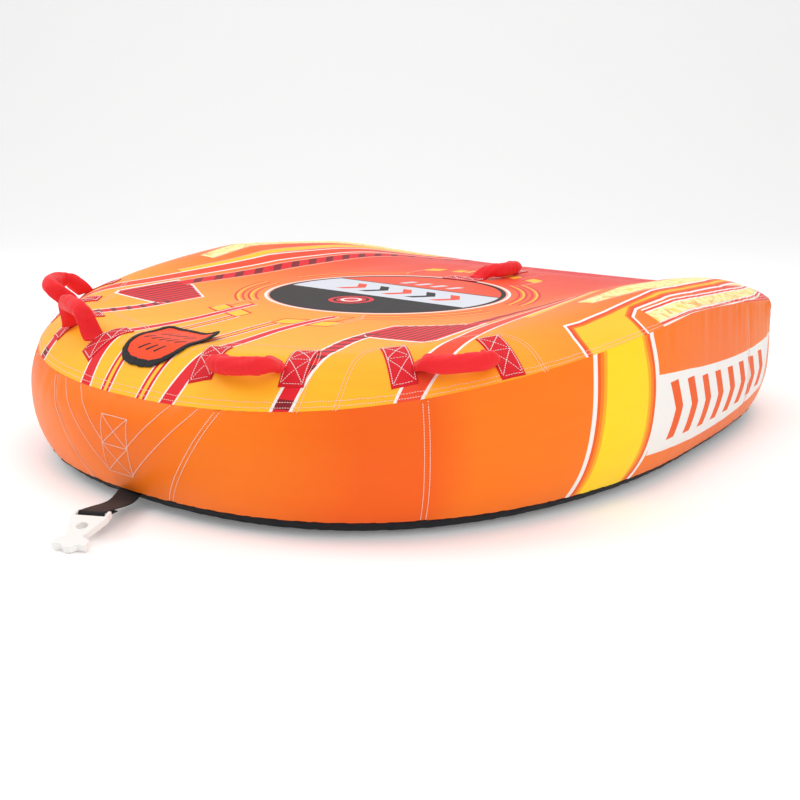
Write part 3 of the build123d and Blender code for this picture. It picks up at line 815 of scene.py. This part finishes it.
# each handle's first and second patch, as inner and outer end; then the grip's bow and its angle above level
HANDLES = {
    "handle_right_inner": (((0.143, -0.777), (0.181, -0.871)), ((0.322, -0.715), (0.369, -0.813)), 0.050,
            -14),
    "handle_right_outer": (((0.457, -0.622), (0.546, -0.693)), ((0.576, -0.480), (0.675, -0.528)), 0.050,
            -14),
    "handle_left_inner": (((-0.143, -0.777), (-0.181, -0.871)), ((-0.322, -0.715), (-0.369, -0.813)), 0.046,
            64),
    "handle_left_outer": (((-0.457, -0.622), (-0.546, -0.693)), ((-0.576, -0.480), (-0.675, -0.528)), 0.066,
            20),
    "handle_rear": (((-0.050, 0.208), (0.058, 0.208)), ((-0.050, 0.408), (0.058, 0.408)), 0.042, -4),
}
STANDING = 45
EMERGE, SETTLED = 0.020, 0.062  # along a grip: where it leaves its patch, and where it is at full height


def deck_at(x, y, ruffle=True):
    return float(deck_height(x, y, ruffle)[0])


def patch_mesh(name, inner, outer, toward):
    """A stitched webbing patch. Its outer box is lifted a little on the side where the grip comes out."""
    inner, outer = np.array(inner), np.array(outer)
    way = (outer - inner) / np.linalg.norm(outer - inner)
    side = np.array([way[1], -way[0]])
    if side @ np.array(toward) < 0:
        side = -side
    length = np.linalg.norm(outer - inner)
    us, vs = np.linspace(0, length, 27), np.linspace(-WEBBING / 2, WEBBING / 2, 13)
    verts, faces = [], []

    def surface(u, v, low=False):
        x, y = inner + way * u + side * v
        share = u / length
        lift = 0.0022 * max(0,
                math.sin(math.pi * (share - 0.45) / 0.55)) * (0.5 + v / WEBBING) ** 1.5 if share > 0.45 else 0
        edge = min(u, length - u, WEBBING / 2 - abs(v))
        crown = 0.0017 + 0.0007 * min(1, edge / 0.003) + 0.0003 * math.sin(u * 240) * (abs(v) / WEBBING)
        return x, y, deck_at(x, y) + (0.0003 if low else crown + lift)
    for low in (False, True):
        for u in us:
            verts += [surface(u, v, low) for v in vs]
    rows, cols = len(us), len(vs)
    half = rows * cols
    for face in grid_faces(rows, cols):
        faces += [face, tuple(half + vertex for vertex in face[::-1])]
    rim = [(r, 0) for r in range(rows)] + [(rows - 1, c) for c in range(1, cols)] \
        + [(r, cols - 1) for r in range(rows - 2, -1, -1)] + [(0, c) for c in range(cols - 2, 0, -1)]
    for (r0, c0), (r1, c1) in zip(rim, rim[1:] + rim[:1]):
        a, b = r0 * cols + c0, r1 * cols + c1
        faces.append((a, b, half + b, half + a))
    piece = new_piece(name, verts, faces, [webbing_red])
    piece.modifiers.new("round", "BEVEL").width = 0.0005
    inset_x, inset_y = 0.004, WEBBING / 2 - 0.004
    marks = [inset_x, length * 0.48, length - inset_x]
    runs = [((marks[0], -inset_y), (marks[2], -inset_y)), ((marks[0], inset_y), (marks[2], inset_y))]
    runs += [((m, -inset_y), (m, inset_y)) for m in marks]
    for m0, m1 in zip(marks, marks[1:]):
        runs += [((m0, -inset_y), (m1, inset_y)), ((m0, inset_y), (m1, -inset_y))]
    lines = []
    for start, end in runs:
        points = [np.array(surface(*(np.array(start) + (np.array(end) - start) * t))) for t in np.linspace(0,
                1, 18)]
        lines.append((points, [(0, 0, 1)] * len(points)))
    return piece, lines


def rounded_path(corners, radius):
    """A run of straight legs with rounded corners, as evenly spaced points."""
    points = [corners[0]]
    for before, corner, after in zip(corners, corners[1:], corners[2:]):
        into, out = (corner - before).normalized(), (after - corner).normalized()
        cut = radius * math.tan(into.angle(out) / 2)
        start, end = corner - into * cut, corner + out * cut
        for t in np.linspace(0, 1, 12):
            points.append(start * (1 - t) ** 2 + corner * 2 * t * (1 - t) + end * t * t)
    points.append(corners[-1])
    p = np.array([tuple(q) for q in points])
    distance = np.concatenate([[0], np.cumsum(np.linalg.norm(np.diff(p, axis=0), axis=1))])
    return p, distance


def tube_mesh(name, spine, across, upward, widths, heights, surface, material, segments=40):
    """A closed tube round a spine of points; surface gives extra radius by angle and spine point."""
    verts = []
    rows = len(spine)
    for i in range(rows):
        for k in range(segments):
            angle = 2 * math.pi * k / segments
            extra = surface(angle, i)
            c, s = math.cos(angle), math.sin(angle)
            verts.append(spine[i] + across[i] * c * (widths[i] + extra)
                         + upward[i] * s * (heights[i] + extra))
    faces = grid_faces(rows, segments, round_cols=True)
    for row in (0, rows - 1):
        verts.append(spine[row])
        for k in range(segments):
            a, b = row * segments + k, row * segments + (k + 1) % segments
            faces.append((a, b, len(verts) - 1) if row else (b, a, len(verts) - 1))
    return new_piece(name, verts, faces, [material])


def grip(name, first, second, rise, lean, seed):
    """The sleeve, its flattened ends, the foam and the webbing core of one handle."""
    draw = random.Random(seed)
    ends = []
    for inner, outer in (first, second):
        x, y = (i + (o - i) * AXIS_SHARE for i, o in zip(inner, outer))
        ends.append(Vector((x, y, deck_at(x, y, False) + AXIS_GAP)))
    a, b = ends
    chord = b - a
    unit = chord.normalized()
    outward = Vector((first[1][0] - first[0][0] + second[1][0] - second[0][0],
                      first[1][1] - first[0][1] + second[1][1] - second[0][1], 0))
    outward = (outward - unit * outward.dot(unit)).normalized()
    upward = outward.cross(unit)
    upward = upward if upward.z > 0 else -upward
    bow = outward * math.cos(math.radians(lean)) + upward * math.sin(math.radians(lean))
    shoulder = chord * GRIP_SHOULDER
    p, distance = rounded_path([a, a + shoulder + bow * rise, b - shoulder + bow * rise, b], GRIP_BEND)
    total = distance[-1]

    def spine_at(places):
        q = np.array([[np.interp(s, distance, p[:, i]) for i in range(3)] for s in places])
        for row, s in zip(q, places):
            near = min(s, total - s)
            origin, way = (a, unit) if s < total / 2 else (b, -unit)
            laid = origin + way * near - upward * (AXIS_GAP - 0.0040)
            settle = np.clip((SETTLED - near) / (SETTLED - EMERGE), 0, 1)
            row += (np.array(tuple(laid)) - row) * settle * settle * (3 - 2 * settle)
        return q

    def frames(q):
        way = np.gradient(q, axis=0)
        way /= np.linalg.norm(way, axis=1)[:, None]
        flat = np.array(tuple(outward))
        across = flat - way * (way @ flat)[:, None]
        across /= np.linalg.norm(across, axis=1)[:, None]
        up = np.cross(way, across)
        up *= np.sign(up @ np.array(tuple(upward)))[:, None]
        return across, up

    def flatness(places):
        near = np.minimum(places, total - places)
        settle = np.clip((SETTLED + 0.012 - near) / (SETTLED + 0.012 - EMERGE), 0, 1)
        return settle * settle * (3 - 2 * settle)

    creases = [(draw.uniform(0.08, 0.92), draw.uniform(0, 6.28), draw.uniform(0.0006, 0.0017),
            draw.uniform(-9, 9))
               for _ in range(14)]
    bends = [(0.30 + draw.uniform(-0.03, 0.03), 0.0045), (0.70 + draw.uniform(-0.03, 0.03), 0.0035)]
    if lean > STANDING:
        bends.append((0.50, 0.006))  # a grip that stands up folds in the middle too
    inner_angle = math.atan2(-bow.dot(upward), -bow.dot(outward))

    def cloth(places, swell):
        def surface(angle, i):
            share = places[i] / total
            r = (swell + 0.0007 * math.sin(3 * angle + 9 * share + seed)
                 + 0.0005 * math.sin(5 * angle - 23 * share))
            for centre, turn, depth, slant in creases:
                away = (share - centre) * total + 0.004 * math.sin(angle - turn) * slant / 4
                facing = max(0.0, math.cos(angle - turn))
                r -= depth * facing * math.exp(-(away / 0.0035) ** 2)
            for centre, depth in bends:
                away = (share - centre) * total
                facing = max(0.0, math.cos(angle - inner_angle)) ** 1.5
                r -= depth * facing * math.exp(-(away / 0.005) ** 2)
                r += 0.0016 * facing * math.exp(-((abs(away) - 0.012) / 0.006) ** 2)
            return r
        return surface

    def build(part, low, high, rows, radius, swell, material, wide=0.0245, thin=0.0028):
        places = np.linspace(low, high, rows)
        q = spine_at(places)
        across, up = frames(q)
        flat = flatness(places)
        widths = radius * (1 - flat) + wide * flat
        heights = radius * (1 - flat) + thin * flat
        return tube_mesh(f"{name}_{part}", q, across, up, widths, heights, cloth(places, swell), material)

    middle = build("cover", 0.048, total - 0.048, 110, 0.0178, 0.0006, sleeve_red)
    middle.modifiers.new("smooth", "SUBSURF").levels = 1
    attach(middle, name)
    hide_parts(f"{name}_sleeve")
    for side, low, high, origin, way in (("a", EMERGE, 0.058, a, 1),
            ("b", total - 0.058, total - EMERGE, b, -1)):
        cuff = build(f"cuff_{side}", low, high, 26, 0.0172, 0.0, sleeve_red)
        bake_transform(cuff)
    filling = build("padding", 0.060, total - 0.060, 40, 0.0150, 0.0, foam_grey)
    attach(filling, name)
    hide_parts(f"{name}_foam")
    core = build("core", 0.050, total - 0.050, 40, 0.0016, 0.0, webbing_red)
    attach(core, name)
    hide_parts(f"{name}_webbing")


foam_grey = plain_fabric("foam_cells", (0.12, 0.12, 0.12), 0.8, pitch=0.003, strength=0.4)
patch_threads = []
for number, (name, (first, second, rise, lean)) in enumerate(HANDLES.items()):
    ends = []
    for (inner, outer), other in ((first, second), (second, first)):
        toward = (other[1][0] - outer[0], other[1][1] - outer[1])
        ends.append(patch_mesh(f"{name}_patch_{len(ends)}", inner, outer, toward))
    for piece, lines in ends:
        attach(piece, "tube")
        patch_threads += lines
    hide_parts(f"{name}_patches")
    grip(name, first, second, rise, lean, number + 3)
threads = stitches("stitching_patches", patch_threads, thread_white, pitch=0.0056, length=0.0045,
        width=0.0020, height=0.0008)
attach(threads, "tube")

# ---------------------------------------------------------------- valve flap
FLAP_HALF, FLAP_WAIST, FLAP_FRONT, FLAP_REAR = 0.085, -0.815, -0.880, -0.716
BINDING = 0.013


def flap_outline(shrink):
    """Round front, square rear with soft corners."""
    half = FLAP_HALF - shrink
    front = []
    for a in range(-90, 91, 6):
        c, s = math.cos(math.radians(a)), math.sin(math.radians(a))
        front.append((half * math.copysign(abs(s) ** 0.78, s),
                FLAP_WAIST + (FLAP_FRONT + shrink - FLAP_WAIST) * abs(c) ** 0.78))
    r = 0.016
    corner = [(half - r + r * math.cos(math.radians(a)),
            FLAP_REAR - shrink - r + r * math.sin(math.radians(a)))
              for a in range(0, 91, 15)]
    return front + corner + [(-x, y) for x, y in corner[::-1]]


def flap_height(x, y):
    """The flap lies on the deck, its free rear corners curling up, one more than the other."""
    curl = 0.0
    for side, lift in ((1, 0.011), (-1, 0.004)):
        curl = curl + lift * np.exp(-((x - side * FLAP_HALF) ** 2 + (y - FLAP_REAR) ** 2) / 0.034**2)
    return deck_height(x, y, False) + curl + 0.0006 * np.sin(70 * x + 40 * y)


def lift_flap(plan):
    return np.column_stack([plan, flap_height(plan[:, 0], plan[:, 1]) + 0.0043])


flap_marks = []
for y, count in ((-0.768, 4), (-0.803, 5), (-0.838, 3)):
    for i in range(count):
        x = (i - (count - 1) / 2) * 0.024
        flap_marks.append(([(x - 0.011, y - 0.008), (x - 0.004, y - 0.010), (x + 0.012, y + 0.009),
                (x + 0.006, y + 0.010)],
                           "black"))
flap_red = plain_fabric("flap_red", (0.83, 0.07, 0.02), 0.45)
field = printed_sheet("flap_field", flap_outline(BINDING - 0.003), flap_marks, 0.006, lift_flap, flap_red,
        edge_pitch=0.005)
sheet = field.modifiers.new("cloth", "SOLIDIFY")
sheet.thickness = 0.0014
sheet.offset = -1
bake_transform(field)
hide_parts("valve_flap")

loop = resample(flap_outline(BINDING / 2), 0.004)
verts = []
p = np.array(loop)
way = np.roll(p, -1, 0) - np.roll(p, 1, 0)
way /= np.linalg.norm(way, axis=1)[:, None]
side = np.stack([way[:, 1], -way[:, 0]], 1)
SECTION = [(math.cos(math.radians(a)), math.sin(math.radians(a))) for a in range(0, 360, 30)]
for i, (point, out) in enumerate(zip(p, side)):
    width = BINDING / 2 + 0.0006 * math.sin(i * 0.7) + 0.0004 * math.sin(i * 1.9)
    for c, s in SECTION:
        flat = math.copysign(abs(c) ** 0.6, c)
        x, y = point + out * flat * width
        verts.append((x, y, float(flap_height(x, y)[0]) + 0.0043 + 0.0019 * s + 0.0002 * math.sin(i * 1.3)))
faces = grid_faces(len(p), len(SECTION), round_cols=True, round_rows=True)
binding_black = plain_fabric("binding_black", (0.016, 0.015, 0.016), 0.55, pitch=0.0014, strength=0.9,
        sheen=0.08)
binding = new_piece("flap_edge", verts, faces, [binding_black])
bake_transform(binding)
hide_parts("flap_binding")
edge_line = [np.array([x, y, float(flap_height(x, y)[0]) + 0.0060]) for x,
        y in resample(flap_outline(BINDING * 0.72), 0.005)]
threads = stitches("stitching_flap", [(edge_line + edge_line[:1], [(0, 0, 1)] * (len(edge_line) + 1))],
        binding_black,
                   pitch=0.005, length=0.0038, width=0.0012, height=0.0005)
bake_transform(threads)

# ---------------------------------------------------------------- tow strap and hook
STRAP_YAW, STRAP_WIDTH, EXIT_Y = math.radians(28), 0.054, -0.922
heading = np.array([math.sin(STRAP_YAW), -math.cos(STRAP_YAW), 0])
beside = np.array([heading[1], -heading[0], 0])
BAR_S, BAR_Z, WRAP = 0.150, 0.0375, 0.0072
route = [(-0.028, 0.031), (0.0, 0.0245), (0.026, 0.0225), (0.060, 0.0265), (0.092, 0.0335), (0.126, 0.0405)]
upper = [tuple(q) for q in smooth_line(route, 0.004)]
upper += [(BAR_S + WRAP * math.cos(math.radians(a)),
        BAR_Z + WRAP * math.sin(math.radians(a))) for a in range(120, -121, -12)]
upper += [(0.135, 0.0335), (0.120, 0.0320), (0.098, 0.0285)]
line = np.array(smooth_line(upper, 0.002))
verts = []
columns = np.linspace(-1, 1, 15)
for i, (s, z) in enumerate(line):
    for c in columns:
        sag = 0.0012 * (1 - c * c) * math.sin(i * 0.05) + 0.0004 * math.sin(i * 0.11 + 3 * c)
        verts.append(np.array([0, EXIT_Y, 0]) + heading * s + beside * c * STRAP_WIDTH / 2 + np.array([0, 0,
                z + sag]))
strap = new_piece("tow_webbing", verts, grid_faces(len(line), len(columns)), [webbing_black])
thick = strap.modifiers.new("webbing", "SOLIDIFY")
thick.thickness = 0.0022
thick.offset = 0
strap.modifiers.new("edge", "BEVEL").width = 0.0005
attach(strap, "tow_strap")
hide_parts("tow_strap")

cad_hook = bpy.data.objects["tow_hook"]
hook = cad_hook.copy()
hook.data = cad_hook.data.copy()
hook.name = hook.data.name = "quick_connect"
bpy.context.scene.collection.objects.link(hook)
remesh = hook.modifiers.new("remesh", "REMESH")
remesh.mode = "VOXEL"
remesh.voxel_size = 0.0011
remesh.use_smooth_shade = True
soften = hook.modifiers.new("soften", "SMOOTH")
soften.factor = 0.6
soften.iterations = 7
hook.data.materials.clear()
hook.data.materials.append(hook_white)
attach(hook, "tow_hook")
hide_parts("tow_hook")

# ---------------------------------------------------------------- finishes for the CAD nodes that stay
valve_black = plastic("valve_black", (0.025, 0.025, 0.027), 0.4)
zip_black = plastic("zip_black", (0.02, 0.02, 0.022), 0.35)
film = plastic("film_grey", (0.62, 0.63, 0.66), 0.25)
fuzzy = plain_fabric("hook_and_loop", (0.025, 0.024, 0.025), 0.9, pitch=0.0016, strength=1.0, sheen=0.8)
for nodes_named, material in ((("valve_base", "valve_cap"), valve_black),
        (("zipper_teeth", "zipper_slider"), zip_black),
                              (("zipper_tape", "tow_harness"), webbing_black),
        (("bladder", "bladder_baffles"), film),
                              (("flap_loop_tape", "flap_hook_tape"), fuzzy)):
    for node in nodes_named:
        for slot in bpy.data.objects[node].material_slots:
            slot.material = material

# ---------------------------------------------------------------- floor and light
BEND = 3.0  # radius of the sweep's bend
SWEEP = [(-9.0, 0.0)]
SWEEP += [(4.0 + BEND * math.sin(math.radians(t)), BEND - BEND * math.cos(math.radians(t))) for t in range(0,
        91, 6)]
SWEEP += [(4.0 + BEND, 9.0)]
verts = []
away = np.array([-math.sin(CAMERA_TURN), math.cos(CAMERA_TURN), 0])  # level direction the camera looks in
for d, z in SWEEP:
    for across in (-14, 14):
        verts.append(away * d + np.array([away[1], -away[0], 0]) * across + np.array([0, 0, z]))
floor_material, _, _, shader = new_material("floor_paint", (0.93, 0.93, 0.93), 0.6)
socket(shader, "Emission Color", (1, 1, 1, 1))
socket(shader, "Emission Strength", 0.14)
floor_piece = new_piece("backdrop", verts, grid_faces(len(SWEEP), 2), [floor_material])


def area(name, location, target, size, watts):
    data = bpy.data.lights.new(name, "AREA")
    data.shape = "RECTANGLE"
    data.size, data.size_y = size
    data.energy = watts
    lamp = bpy.data.objects.new(name, data)
    lamp.location = location
    lamp.rotation_euler = (Vector(target) - Vector(location)).to_track_quat("-Z", "Y").to_euler()
    bpy.context.scene.collection.objects.link(lamp)


area("key", (-2.6, -2.4, 3.2), (0, 0, 0.2), (2.4, 2.4), 62)
area("fill", (3.0, -1.4, 2.6), (0, 0, 0.2), (2.6, 2.6), 42)
area("top", (0.0, 0.8, 4.0), (0, 0, 0.2), (3.6, 3.6), 48)
world = bpy.data.worlds.new("world")
world.use_nodes = True
socket(world.node_tree.nodes["Background"], "Color", (1, 1, 1, 1))
socket(world.node_tree.nodes["Background"], "Strength", 0.66)
bpy.context.scene.world = world
bpy.context.scene.view_settings.view_transform = "Standard"
